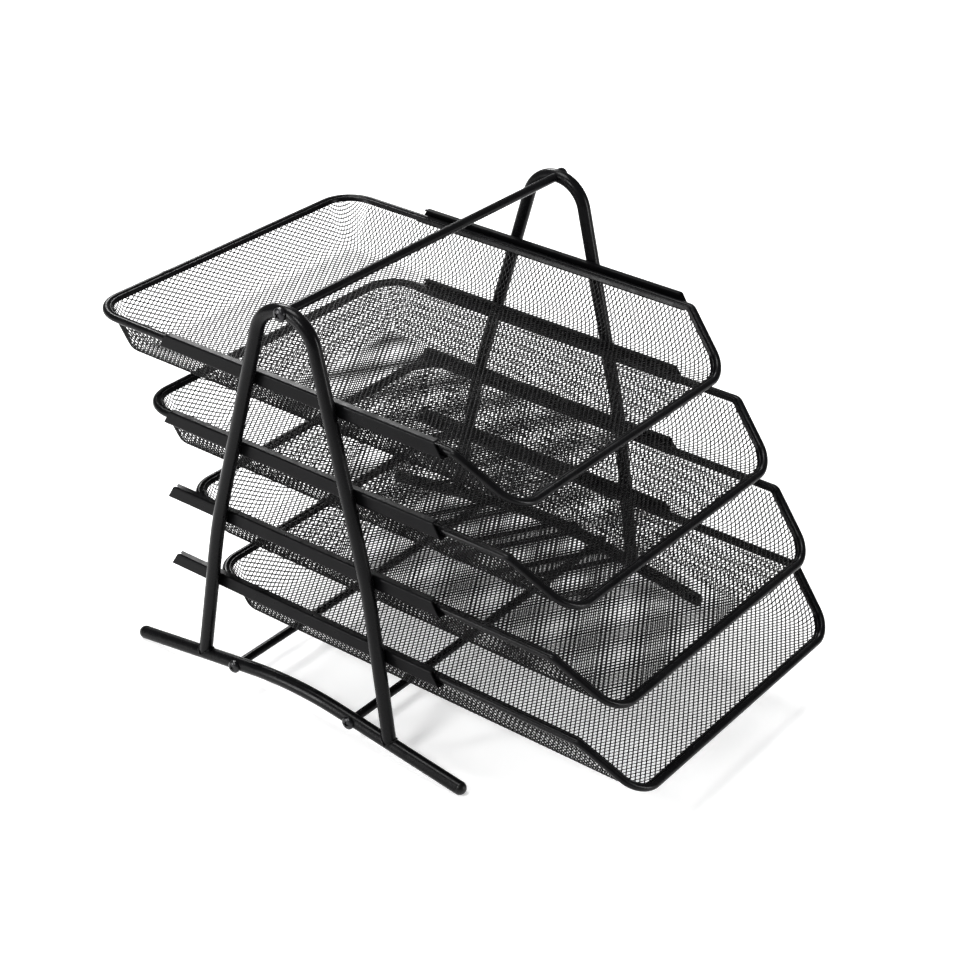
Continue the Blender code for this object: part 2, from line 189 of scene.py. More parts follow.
class Finishes(bpy.types.PropertyGroup):
    """Colours and gloss of the paint, plastic and screws."""

    paint: colour("Paint", "Powder coat on the tubes, rods, rims and rails", (0.0022, 0.0022, 0.0025))
    mesh_paint: colour("Mesh paint", "Coat on the mesh", (0.0028, 0.0028, 0.0031))
    plastic: colour("Plastic", "End caps", (0.003, 0.003, 0.003))
    screw: colour("Screws", "Blackened screw heads", (0.006, 0.006, 0.007))
    gloss: share("Paint roughness", "Roughness of the powder coat", 0.26)
    shine: share("Paint shine", "Strength of the powder coat's reflections", 0.09)


class StageSizes(bpy.types.PropertyGroup):
    """The floor, the lights and the camera."""

    floor: colour("Floor", "Colour of the floor", (0.86, 0.86, 0.86))
    glow: strength("Floor glow", "Light that the floor gives of itself", 0.45)
    sky: strength("Room light", "Strength of the even light from all round", 0.20)
    backdrop: strength("Backdrop", "How light the room looks behind the floor", 0.95)
    camera_place: spot("Camera", "Place of the camera", (-1.0288, -0.7714, 0.8839))
    azimuth: angle("Azimuth", "Turn of the view from looking along +Y", -54.25)
    elevation: angle("Elevation", "How far the view looks down", 30.88)
    roll: angle("Roll", "Turn of the view about its own line", 1.94)
    lens: FloatProperty(name="Lens", description="Focal length in millimetres", default=80.91, min=10.0)
    shift: FloatVectorProperty(name="Shift", description="Lens shift", default=(-0.02896, 0.02521), size=2)


class LetterTray(bpy.types.PropertyGroup):
    """All settings of the letter tray."""

    frame: PointerProperty(type=FrameSizes, name="Frame", description="Side frames and rods")
    rail: PointerProperty(type=RailSizes, name="Rails", description="Sheet rails")
    tray: PointerProperty(type=TraySizes, name="Trays", description="Rims, baskets and hems")
    mesh: PointerProperty(type=MeshSizes, name="Mesh", description="Expanded mesh")
    finish: PointerProperty(type=Finishes, name="Finishes", description="Paint, plastic and screws")
    stage: PointerProperty(type=StageSizes, name="Stage", description="Floor, lights and camera")


# ---------------------------------------------------------------- surfaces


def unit(vectors):
    """The same directions, with length 1."""
    return vectors / np.linalg.norm(vectors, axis=-1, keepdims=True)


def grid_faces(rows, columns, closed_rows, closed_columns):
    """Quads of a grid of points, as index rows. A closed direction joins its last points to its first."""
    across, along = np.meshgrid(
        np.arange(columns if closed_columns else columns - 1),
        np.arange(rows if closed_rows else rows - 1),
    )
    ahead = (along + 1) % rows
    beside = (across + 1) % columns
    corners = [
        along * columns + across,
        along * columns + beside,
        ahead * columns + beside,
        ahead * columns + across,
    ]
    return np.stack(corners, axis=-1).reshape(-1, 4)


class Form:
    """Gathers closed surfaces, and makes them one mesh object."""

    def __init__(self):
        self.points = []
        self.faces = []
        self.count = 0

    def shell(self, points, *faces):
        """Adds a closed surface of quads and triangles. One with a negative volume is turned inside out."""
        points = np.asarray(points, float).reshape(-1, 3)
        middle = points.mean(axis=0)
        volume = 0.0
        for block in faces:
            corners = points[block] - middle
            for k in range(1, block.shape[1] - 1):
                volume += np.einsum("ij,ij->", corners[:, 0], np.cross(corners[:, k], corners[:, k + 1]))
        for block in faces:
            facing = block[:, ::-1] if volume < 0 else block
            self.faces.extend((facing + self.count).tolist())
        self.points.append(points)
        self.count += len(points)

    def skin(self, rings, start=None, end=None):
        """Adds the surface through a row of rings. Its ends each fan in to a point, or join up."""
        rings = np.asarray(rings, float)
        rows, columns, _ = rings.shape
        points = rings.reshape(-1, 3)
        faces = [grid_faces(rows, columns, start is None, True)]
        if start is not None:
            points = np.vstack([points, start, end])
            ring = np.arange(columns)
            following = (ring + 1) % columns
            last = (rows - 1) * columns
            tip = rows * columns
            faces.append(np.stack([following, ring, np.full(columns, tip)], axis=1))
            faces.append(np.stack([ring + last, following + last, np.full(columns, tip + 1)], axis=1))
        self.shell(points, *faces)

    def finish(self, name, material, slot, body, nodes, sharp=35.0):
        """Makes the mesh object with its finish, parents it to the body it rides on, and hides the parts it
        stands for.
        """
        mesh = bpy.data.meshes.new(name)
        mesh.from_pydata(np.concatenate(self.points).tolist(), [], self.faces)
        mesh.validate()
        mesh.shade_smooth()
        mesh.set_sharp_from_angle(angle=math.radians(sharp))
        mesh.materials.append(bpy.data.materials[material])
        piece = bpy.data.objects.new(name, mesh)
        bpy.context.scene.collection.objects.link(piece)
        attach(piece, body)
        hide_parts(*nodes)


def bent(corners, radii, closed=False, step=math.radians(4.0)):
    """Centre line of a bent bar: straight runs, and at each corner between them an arc that touches both."""
    corners = np.asarray(corners, float)
    stretches = []
    for k, corner in enumerate(corners):
        if not closed and k in (0, len(corners) - 1):
            stretches.append(corner[None])
            continue
        before = unit(corner - corners[k - 1])
        after = unit(corners[(k + 1) % len(corners)] - corner)
        turn = math.acos(np.clip(before @ after, -1, 1))
        aside = unit(after - (before @ after) * before)
        angle = np.linspace(0, turn, max(3, math.ceil(turn / step)) + 1)[:, None]
        start = corner - before * radii[k] * math.tan(turn / 2)
        stretches.append(start + radii[k] * (np.sin(angle) * before + (1 - np.cos(angle)) * aside))
    return np.concatenate(stretches)


def filled_in(path, spacing, closed=False):
    """The path with points added at even steps, except within a third of a step of one of its own."""
    loop = np.vstack([path, path[:1]]) if closed else path
    run = np.concatenate([[0], np.cumsum(np.linalg.norm(np.diff(loop, axis=0), axis=1))])
    even = np.linspace(0, run[-1], math.ceil(run[-1] / spacing) + 1)
    nearest = np.abs(even[:, None] - run[None]).min(axis=1)
    places = np.sort(np.concatenate([run, even[nearest > spacing / 3]]))
    dense = np.stack([np.interp(places, run, loop[:, axis]) for axis in range(3)], axis=1)
    return dense[:-1] if closed else dense


def headings(path, closed):
    """Direction of a path at each of its points: the mean of the runs before and after it."""
    ahead = np.roll(path, -1, axis=0) - path
    runs = unit(ahead if closed else ahead[:-1])
    if closed:
        return unit(runs + np.roll(runs, 1, axis=0))
    return unit(np.vstack([runs[:1], runs[1:] + runs[:-1], runs[-1:]]))


def carried(path, section, up, closed=False):
    """Rings of a section carried along a path. Its first number runs across, its second along up."""
    ahead = headings(path, closed)
    across = unit(np.cross(ahead, up))
    lift = np.cross(across, ahead)
    section = np.broadcast_to(section, (len(path), *np.shape(section)[-2:]))
    return path[:, None] + section[..., :1] * across[:, None] + section[..., 1:] * lift[:, None]


def circle(radius, sides):
    """Points round a circle. An array of radii gives one circle for each."""
    turn = np.linspace(0, math.tau, sides, endpoint=False)
    ring = np.stack([np.cos(turn), np.sin(turn)], axis=1)
    return np.asarray(radius, float)[..., None, None] * ring


def bar(form, path, radius, up, sides, closed=False):
    """Adds a round bar along a path, with flat ends or closed. Each point may have its own radius."""
    rings = carried(path, circle(radius, sides), up, closed)
    if closed:
        form.skin(rings)
    else:
        form.skin(rings, path[0], path[-1])


def turned(form, profile, place, axis, sides=TUBE_SIDES):
    """Adds a solid turned about an axis, from (along, radius) points. Its first and last lie on the axis."""
    profile = np.asarray(profile, float)
    axis = unit(np.asarray(axis, float))
    across = unit(np.cross(axis, UP))
    lift = np.cross(axis, across)
    ring = circle(profile[1:-1, 1], sides)
    centre = np.asarray(place, float) + profile[:, :1] * axis
    rings = centre[1:-1, None] + ring[..., :1] * across + ring[..., 1:] * lift
    form.skin(rings, centre[0], centre[-1])


# ---------------------------------------------------------------- side frames


def side_plane(side, along, height):
    """Points in a side frame's plane, from distances along Y and heights."""
    along = np.asarray(along, float)
    offset = side * bpy.context.scene.letter_tray.frame.centre_x
    return np.stack([np.full(along.shape, offset), FRAME_Y + along, np.asarray(height, float)], axis=-1)


def arch_path(sizes, side):
    """Centre line of the arch: two legs with a slight knee each, and a round crown."""
    corners = np.array([sizes.foot, sizes.knee, sizes.peak, sizes.knee, sizes.foot])
    corners[3:, 0] *= -1
    radii = (0, sizes.knee_radius, sizes.crown_radius, sizes.knee_radius, 0)
    return bent(side_plane(side, corners[:, 0], corners[:, 1]), radii, step=math.radians(3))


def base_path(sizes, side):
    """Centre line of the base tube: two straight arms that fall from a bend in the middle to the floor."""
    half, end_height = sizes.base_end
    heights = (end_height, end_height + sizes.base_rise, end_height)
    corners = side_plane(side, (half, 0.0, -half), heights)
    return bent(corners, (0, sizes.base_bend, 0), step=math.radians(1))


def saddle_weld(form, foot, leg_direction, base_direction, radius, bead, seed):
    """Adds a weld bead round the seam between a leg and the base tube under it.

    The seam is where lines of the leg's surface, parallel to its axis, meet the base tube's surface: each is
    followed to the smaller root of the quadratic for its distance from the base tube's axis. The bead's
    thickness varies round the seam by two waves.
    """
    fine, fine_share = 13, 0.10
    coarse, coarse_share = 7, 0.06
    stand_off = 0.25 * bead
    turn = np.linspace(0, math.tau, 96, endpoint=False)
    depth = np.cross(leg_direction, ACROSS)
    rim = foot + radius * (np.cos(turn)[:, None] * ACROSS + np.sin(turn)[:, None] * depth)
    flat = rim - foot
    flat = flat - (flat @ base_direction)[:, None] * base_direction
    along = leg_direction - (leg_direction @ base_direction) * base_direction
    square = along @ along
    middle = flat @ along
    reach = np.maximum(middle**2 - square * ((flat * flat).sum(axis=1) - radius**2), 0)
    travel = (-middle - np.sqrt(reach)) / square
    seam = rim + travel[:, None] * leg_direction
    ripple = 1 + fine_share * np.sin(fine * turn + seed) + coarse_share * np.sin(coarse * turn + 2 * seed)
    outward = unit(seam - (foot + ((seam - foot) @ leg_direction)[:, None] * leg_direction))
    bar(form, seam + stand_off * outward, bead * ripple, leg_direction, BEAD_SIDES, closed=True)


def build_side_frame(settings, label, side):
    """The arch with its weld beads, the base tube, and the two domed end caps, cut level with the floor."""
    sizes = settings.frame
    half, end_height = sizes.base_end
    base = base_path(sizes, side)
    arch = arch_path(sizes, side)

    form = Form()
    bar(form, filled_in(arch, TUBE_STEP), sizes.tube_radius, ACROSS, TUBE_SIDES)
    for end, inner, seed in ((0, 1, 1.0), (-1, -2, 2.6)):
        leg = unit(arch[end] - arch[inner])
        along = arch[end][1] - FRAME_Y
        slope = math.atan2(sizes.base_rise, half) * (1 if along < 0 else -1)
        line = np.array([0.0, math.cos(slope), math.sin(slope)])
        seat = side_plane(side, along, end_height + sizes.base_rise * (1 - abs(along) / half))
        saddle_weld(form, seat, leg, line, sizes.tube_radius, sizes.weld_radius, seed + side)
    form.finish(f"{label}_arch", "powder_coat", "black_powder_coat", "stand", [f"{label}_arch_tube"])

    form = Form()
    bar(form, filled_in(base, TUBE_STEP), sizes.tube_radius, ACROSS, TUBE_SIDES)
    form.finish(f"{label}_base", "powder_coat", "black_powder_coat", "stand", [f"{label}_base_tube"])

    swell = sizes.tube_radius + 0.00004
    inside, bevel = -0.0003, 0.0001
    turn = np.linspace(0, math.pi / 2, 18)
    dome = np.stack([sizes.cap_depth * np.sin(turn), swell * np.cos(turn)], axis=1)
    lip = [(inside, 0.0), (inside, swell - 4 * bevel), (-bevel, swell - bevel)]
    profile = np.vstack([lip, dome[:-1], [(sizes.cap_depth, 0.0)]])
    for place, end, inner in (("back", 0, 1), ("front", -1, -2)):
        form = Form()
        turned(form, profile, base[end], base[end] - base[inner])
        form.points[0][:, 2] = np.maximum(form.points[0][:, 2], 0.0)
        plug = f"{label}_{place}"
        form.finish(f"{plug}_plug", "cap_plastic", "black_plastic", "stand", [f"{plug}_cap"])


# ---------------------------------------------------------------- rods and screws


def screw_head(form, sizes, seat, outward, turn_by):
    """Adds a round screw head with a cross recess.

    Rings run from the seat up the side and over the dome to the middle. The dome is sunk where the smaller of
    the two cross-wise distances is under an arm's tapering half width, and the larger is under its length.
    """
    radius = sizes.screw_radius
    height = sizes.screw_height
    side_share, roundness = 0.30, 2.4
    arm_width, arm_length, taper, arm_edge = 0.00052, 0.0022, 0.10, 0.00022
    tip, tip_edge, depth = 0.00225, 0.0004, 0.0013

    share_out = np.concatenate([np.linspace(1.0, 0.62, 12), np.linspace(0.60, 0.03, 34)])
    dome = height * (side_share + (1 - side_share) * np.sqrt(np.clip(1 - share_out**roundness, 0, 1)))
    turn = np.linspace(0, math.tau, 96, endpoint=False)
    across = radius * share_out[:, None] * np.cos(turn)
    lift = radius * share_out[:, None] * np.sin(turn)
    narrow = np.minimum(abs(across), abs(lift))
    far = np.maximum(abs(across), abs(lift))
    in_arm = np.clip((arm_width + taper * (arm_length - far) - narrow) / arm_edge, 0, 1)
    rise = dome[:, None] - depth * in_arm * np.clip((tip - far) / tip_edge, 0, 1)
    across = np.vstack([across[:1], across])
    lift = np.vstack([lift[:1], lift])
    rise = np.vstack([np.zeros((1, len(turn))), rise])

    level = unit(np.cross(outward, UP))
    level = level * math.cos(turn_by) + UP * math.sin(turn_by)
    upright = np.cross(outward, level)
    rings = seat + across[..., None] * level + lift[..., None] * upright + rise[..., None] * outward
    form.skin(rings, seat, seat + outward * (height - depth))


def build_rods(settings):
    """The handle bar and the two low rods between the tubes, and their six screws, each with its washer."""
    sizes = settings.frame
    rods = (
        ("handle_bar", "handle", "handle_grip_bar"),
        ("front_cross_rod", "front", "front_low_rod"),
        ("back_cross_rod", "back", "back_low_rod"),
    )
    end = sizes.centre_x - 0.55 * sizes.tube_radius
    sunk = 0.0002
    washer = [(-0.0009, 0.0), (-0.0009, 0.0042), (sunk, 0.0042), (sunk, 0.0)]
    for node, label, name in rods:
        low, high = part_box(node)
        middle = np.array([0.0, (low.y + high.y) / 2, (low.z + high.z) / 2])
        form = Form()
        bar(form, middle + np.linspace(-end, end, 5)[:, None] * ACROSS, sizes.rod_radius, UP, ROD_SIDES)
        form.finish(name, "powder_coat", "black_powder_coat", "stand", [node])
        for side_label, side in SIDES.items():
            outward = side * ACROSS
            seat = middle + outward * (sizes.centre_x + sizes.tube_radius - sunk)
            form = Form()
            screw_head(form, sizes, seat, outward, 0.5 + 0.9 * side + 0.7 * len(label))
            turned(form, washer, seat, outward, sides=48)
            screw = f"{side_label}_{label}_screw"
            form.finish(f"{screw}_head", "screw_blacking", "screw_finish", "stand", [screw], sharp=28)


# ---------------------------------------------------------------- rails


def folded_strip(corners, sheet, fold):
    """Outer and inner line of a folded strip, as (across, height) points.

    The outer line has an arc at each fold. The inner one is that line moved by the sheet's thickness to its
    right, the side towards which it turns.
    """
    corners = np.column_stack([corners, np.zeros(len(corners))])
    outer = filled_in(bent(corners, [fold] * len(corners), step=math.radians(12)), 0.0008)
    ahead = headings(outer, False)
    inner = outer + sheet * np.stack([ahead[:, 1], -ahead[:, 0], np.zeros(len(outer))], axis=1)
    return outer[:, :2], inner[:, :2]


def build_rail(settings, label, side, tier):
    """One rail: a C-shaped strip, open towards the tray, whose two ends are cut on a slant.

    Each end's place along Y moves in with height. The upper flange's back end also has a notch, a bell curve
    of the distance across the flange.
    """
    notch_middle, notch_spread = 0.42, 0.16
    sizes = settings.rail
    low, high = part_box(f"{label}_rail_{tier}")
    out = max(abs(low.x), abs(high.x))
    corners = [(out - sizes.top_lip, high.z), (out, high.z), (out, low.z), (out - sizes.bottom_lip, low.z)]
    outer, inner = folded_strip(corners, sizes.sheet, sizes.fold)
    section = np.vstack([outer, inner[::-1]])
    drop = np.clip((high.z - section[:, 1]) / (high.z - low.z), 0, 1)
    front = low.y + sizes.slant[0] * (1 - drop)
    across = (out - section[:, 0]) / sizes.top_lip
    notch = sizes.notch * np.exp(-(((across - notch_middle) / notch_spread) ** 2)) * (drop < 0.2)
    back = high.y - sizes.slant[1] * (1 - drop) - notch
    stations = np.linspace(0, 1, 25)[:, None]
    along = front + (back - front) * stations
    across, height = (np.broadcast_to(line, along.shape) for line in (side * section[:, 0], section[:, 1]))
    rings = np.stack([across, along, height], axis=-1)
    rows, columns, _ = rings.shape
    strip = np.arange(len(outer) - 1)
    mate = columns - 1 - strip
    end_cap = np.stack([strip, strip + 1, mate - 1, mate], axis=1)
    last = (rows - 1) * columns
    form = Form()
    form.shell(rings, grid_faces(rows, columns, False, True), end_cap[:, ::-1], end_cap + last)
    name = f"{label}_slide_rail_{tier}"
    form.finish(name, "rail_coat", "black_powder_coat", "stand", [f"{label}_rail_{tier}"])


# ---------------------------------------------------------------- trays


def wall_shape(sizes):
    """Angle of the basket's wall over the level, and the length of its straight part above the floor bend."""
    angle = math.atan2(1.0, sizes.lean)
    return angle, sizes.floor_drop / math.sin(angle) - sizes.floor_bend * math.tan(angle / 2)


def wall_section(sizes, travel):
    """The basket's outer face as (inward, height, slope), at distances down it from its edge.

    It is a straight leaning wall, an arc, and then the level floor. Both lengths are taken from the wire's
    middle, and slope is the angle of the face over the level.
    """
    angle, straight = wall_shape(sizes)
    on_wall = np.minimum(travel, straight)
    turn = np.clip((travel - straight) / sizes.floor_bend, 0, angle)
    on_floor = np.maximum(travel - straight - sizes.floor_bend * angle, 0)
    slope = angle - turn
    inward = on_wall * math.cos(angle) + sizes.floor_bend * (math.sin(angle) - np.sin(slope)) + on_floor
    height = -on_wall * math.sin(angle) - sizes.floor_bend * (np.cos(slope) - math.cos(angle))
    return sizes.wire_radius + sizes.gap + inward, height, slope


def travel_at(sizes, depth):
    """Distance down the outer face from its edge to where it lies at a depth under the edge."""
    angle, straight = wall_shape(sizes)
    over_floor = np.clip((sizes.floor_drop - depth) / sizes.floor_bend, 0, 1 - math.cos(angle))
    on_bend = straight + sizes.floor_bend * (angle - np.arccos(1 - over_floor))
    return np.where(depth < straight * math.sin(angle), depth / math.sin(angle), on_bend)


def rim_lines(settings, tier):
    """Centre line of the rim wire, and where its top, front, back and sides lie.

    The rim is a rounded loop with a low front and sloping sides. It starts out as wide at its front as at its
    back, and then each point moves in, in step with its depth.
    """
    sizes = settings.tray
    low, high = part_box(f"tray_{tier}_rim")
    wire = sizes.wire_radius
    wide = high.x - wire
    back, front = high.y - wire, low.y + wire
    top, bottom = high.z - wire, low.z + wire
    radii = (sizes.back_corner, sizes.mouth_bend, sizes.mouth_corner)
    half = np.array([(wide, back, top), (wide, front + sizes.slope, top), (wide, front, bottom)])
    path = bent(np.vstack([half, half[::-1] * (-1, 1, 1)]), radii + radii[::-1], closed=True)
    path = filled_in(path, RIM_STEP, closed=True)
    inset = sizes.mouth_inset * (top - path[:, 2]) / (top - bottom)
    path[:, 0] -= inset * np.clip(path[:, 0] / (wide - sizes.mouth_corner), -1, 1)
    return path, top, front, back, wide


def inward_of(path):
    """Level direction towards the inside of a closed loop that runs clockwise seen from above."""
    ahead = headings(path, True)
    level = unit(ahead[:, :2])
    return np.column_stack([level[:, 1], -level[:, 0], np.zeros(len(path))])


def nearest_on(points, outline):
    """For each point: the nearest place on a closed outline, its distance, and its corner count."""
    run = np.roll(outline, -1, axis=0) - outline
    part = ((points[:, None] - outline) * run).sum(axis=-1) / np.maximum((run * run).sum(axis=-1), 1e-18)
    part = np.clip(part, 0, 1)
    places = outline + part[..., None] * run
    distance = np.linalg.norm(points[:, None] - places, axis=-1)
    nearest = distance.argmin(axis=1)
    row = np.arange(len(points))
    return places[row, nearest], distance[row, nearest], nearest + part[row, nearest]


class Basket:
    """The basket as a flat sheet that is drawn into shape.

    The floor's core is a strip between the back corners' bend centres, and open at the front. A flat point
    outside the core lies in some direction from it, at some distance. On the drawn basket it lies in the same
    direction, and that distance is run off along the floor, round the bend and up the wall.
    """

    def __init__(self, settings, tier):
        samples = 4000
        self.sizes = settings.tray
        self.path, self.top, self.front, self.back, self.wide = rim_lines(settings, tier)
        self.core_x = self.wide - self.sizes.back_corner
        self.core_y = self.back - self.sizes.back_corner
        self.travel = np.linspace(0, 2 * self.sizes.floor_drop + self.sizes.back_corner, samples)
        self.inward, _, _ = wall_section(self.sizes, self.travel)
        self.full = float(np.interp(self.sizes.back_corner, self.inward, self.travel))
        start = self.sizes.wire_radius + self.sizes.gap
        target = self.path + start * inward_of(self.path)
        _, away, distance = self.core_of(self.flattened(target[:, :2]))
        _, height, slope = wall_section(self.sizes, self.full - distance)
        self.push = (target[:, 2] - self.top - height) * np.cos(slope)
        self.edge = target[:, :2] + away * (self.push * np.sin(slope))[:, None]

    def core_of(self, flat):
        """Nearest point of the core to each flat point, the direction away from it and the distance."""
        core = np.stack([
            np.clip(flat[..., 0], -self.core_x, self.core_x),
            np.minimum(flat[..., 1], self.core_y),
        ], axis=-1)
        away = flat - core
        distance = np.linalg.norm(away, axis=-1)
        return core, away / np.maximum(distance, 1e-9)[..., None], distance

    def drawn(self, flat, lift):
        """Flat points on the drawn basket, lifted off its outer face towards the inside."""
        core, away, distance = self.core_of(flat)
        inward, height, slope = wall_section(self.sizes, self.full - distance)
        outside = distance > 1e-9
        plan = core + away * np.where(outside, self.sizes.back_corner - inward, 0.0)[..., None]
        lift = lift + self.pushed(plan)
        plan = plan - away * np.where(outside, lift * np.sin(slope), 0.0)[..., None]
        return np.concatenate([plan, (self.top + height + lift * np.cos(slope))[..., None]], axis=-1)

    def pushed(self, plan):
        """How far the face is pushed in to meet the sloping wire: in full at the edge, less away from it."""
        pushed = np.zeros(len(plan))
        mouth = plan[:, 1] < self.front + 2 * self.sizes.slope
        _, distance, along = nearest_on(plan[mouth], self.edge)
        push = np.interp(along, np.arange(len(self.push) + 1), np.append(self.push, self.push[0]))
        pushed[mouth] = push * np.clip(1 - distance / MOUTH_FADE, 0, 1) ** 2
        return pushed

    def flattened(self, plan):
        """Flat points of places on the basket, given in plan."""
        core, away, distance = self.core_of(plan)
        run = np.interp(self.sizes.back_corner - distance, self.inward, self.travel)
        return core + away * np.where(distance > 1e-9, self.full - run, 0.0)[..., None]


def within(points, outline):
    """Whether each point is inside a closed outline: a line from it towards +X crosses that an odd number
    of times. Level runs are given a tiny rise, since no such line crosses them.
    """
    tiny = 1e-12
    x, y = points[:, :1], points[:, 1:]
    following = np.roll(outline, -1, axis=0)
    run, rise = (following - outline).T
    spans = (outline[:, 1] > y) != (following[:, 1] > y)
    crossing = outline[:, 0] + (y - outline[:, 1]) / np.where(np.abs(rise) < tiny, tiny, rise) * run
    return (spans & (crossing > x)).sum(axis=1) % 2 == 1


def build_basket(settings, tier):
    """The mesh basket: a flat lattice of diamond holes, trimmed to the rim's outline, made thick and drawn.

    Lattice points lie half a diagonal apart. Every second one is a hole's middle, and the four round it are
    its strands' crossings. A hole's corners lie on the lines from its middle to those crossings. The strands
    are thickest on the lines between crossings and come to an edge at the holes, half way up. A hole is kept
    where its middle is well inside the outline, and a crossing outside is moved to the outline.
    """
    well_inside = 0.4
    sizes = settings.mesh
    basket = Basket(settings, tier)
    outline = basket.flattened(basket.edge)
    step = np.array([sizes.wide / 2, sizes.long / 2])
    low, high = outline.min(axis=0), outline.max(axis=0)
    origin = np.array([0.0, low[1]])
    columns = np.arange(math.floor(low[0] / step[0]), math.ceil(high[0] / step[0]) + 1)
    rows = np.arange(0, math.ceil((high[1] - low[1]) / step[1]) + 1)
    i, j = [axis.ravel() for axis in np.meshgrid(columns, rows, indexing="ij")]
    holes = (i + j) % 2 == 0
    centres = np.stack([i[holes], j[holes]], axis=1)
    places = centres * step + origin
    clear = nearest_on(places, outline)[1] > well_inside * step[1]
    centres = centres[within(places, outline) & clear]

    around = np.array([(1, 0), (0, 1), (-1, 0), (0, -1)])
    nodes, index = np.unique((centres[:, None] + around).reshape(-1, 2), axis=0, return_inverse=True)
    index = index.reshape(-1, 4)
    node_places = nodes * step + origin
    outside = ~within(node_places, outline)
    node_places[outside] = nearest_on(node_places[outside], outline)[0]
    around_hole = node_places[index]
    middle = around_hole.mean(axis=1, keepdims=True)
    hole_places = (middle + sizes.hole * (around_hole - middle)).reshape(-1, 2)

    under = basket.drawn(node_places, MESH_LIFT)
    over = basket.drawn(node_places, MESH_LIFT + sizes.sheet)
    edge = basket.drawn(hole_places, MESH_LIFT + sizes.sheet / 2)
    count = len(node_places)
    hole = 2 * count + np.arange(len(centres) * 4).reshape(-1, 4)
    following, hole_following = np.roll(index, -1, axis=1), np.roll(hole, -1, axis=1)
    strand_top = np.stack([index, following, hole_following, hole], axis=-1).reshape(-1, 4)
    strand_bottom = np.stack([following + count, index + count, hole, hole_following], axis=-1).reshape(-1, 4)
    edges = np.stack([index, following], axis=-1).reshape(-1, 2)
    _, first, uses = np.unique(np.sort(edges, axis=1), axis=0, return_index=True, return_counts=True)
    rim = edges[first[uses == 1]]
    form = Form()
    outer_side = np.column_stack([rim[:, ::-1], rim + count])
    form.shell(np.vstack([over, under, edge]), strand_top, strand_bottom, outer_side)
    body = f"tray_{tier}"
    form.finish(f"{body}_mesh", "mesh_coat", "black_mesh_coat", body, [f"{body}_basket"], sharp=180)


def build_rim(settings, tier):
    """The rim wire, a closed loop that swells a little at its butt weld in the back run.

    The swelling is a bell curve of the distance from the weld, so the run has closer points there.
    """
    half_length, spread, swelling = 0.005, 0.0016, 0.13
    clear = half_length + 0.0005
    sizes = settings.tray
    path = filled_in(rim_lines(settings, tier)[0], WIRE_STEP, closed=True)
    weld_x = RIM_WELDS[tier - 1]
    back_end = path[0]
    in_back_run = path[:, 1] > back_end[1] - 1e-5
    keep = ~(in_back_run & (abs(path[:, 0] - weld_x) < clear))
    before = np.flatnonzero(in_back_run & (path[:, 0] < weld_x - clear)).max() + 1
    closer = np.tile(back_end, (21, 1))
    closer[:, 0] = weld_x + np.linspace(-half_length, half_length, 21)
    path = np.vstack([path[:before][keep[:before]], closer, path[before:][keep[before:]]])
    swell = np.exp(-(((path[:, 0] - weld_x) / spread) ** 2)) * (path[:, 1] > back_end[1] - 1e-5)
    form = Form()
    bar(form, path, sizes.wire_radius * (1 + swelling * swell), UP, WIRE_SIDES, closed=True)
    body = f"tray_{tier}"
    form.finish(f"{body}_rim_wire", "powder_coat", "black_powder_coat", body, [f"{body}_rim"])


def build_hem(settings, tier):
    """The strip folded over the mesh's edge: a U-shaped section carried round the rim.

    The section is given as distances down the basket's outer face and lifts off it. It follows that face from
    the rim wire down the wall, or along the floor at the front.
    """
    over_edge = 0.0009
    sizes = settings.tray
    path, top, _, _, _ = rim_lines(settings, tier)
    depth = (top - path[:, 2])[:, None]
    sheet = sizes.hem_sheet
    inner, outer = MESH_LIFT + settings.mesh.sheet + sheet, MESH_LIFT - sheet
    wide, narrow = 0.5 * (inner - outer), 0.5 * (inner - outer) - sheet
    turn = np.linspace(0, math.pi, 9)
    reach = np.linspace(0.0, sizes.hem_width, 7)
    level = np.ones(7)
    loop = np.vstack([
        np.column_stack([reach[::-1], outer * level]),
        np.column_stack([-over_edge - wide * np.sin(turn), outer + wide * (1 - np.cos(turn))]),
        np.column_stack([reach, inner * level]),
        np.column_stack([reach[::-1], (inner - sheet) * level]),
        np.column_stack([-over_edge - narrow * np.sin(turn), outer + wide - narrow * np.cos(turn)])[::-1],
        np.column_stack([reach, (outer + sheet) * level]),
    ])
    travel, lift = loop.T
    edge = travel_at(sizes, depth)
    across, height, slope = wall_section(sizes, edge + travel)
    inset = wall_section(sizes, edge)[0] - sizes.wire_radius - sizes.gap
    across = across - inset + lift * np.sin(slope)
    height = height + depth + lift * np.cos(slope)
    form = Form()
    form.skin(path[:, None] + inward_of(path)[:, None] * across[..., None] + UP * height[..., None])
    body = f"tray_{tier}"
    form.finish(f"{body}_edge_strip", "powder_coat", "black_powder_coat", body, [f"{body}_hem"])


# ---------------------------------------------------------------- finishes


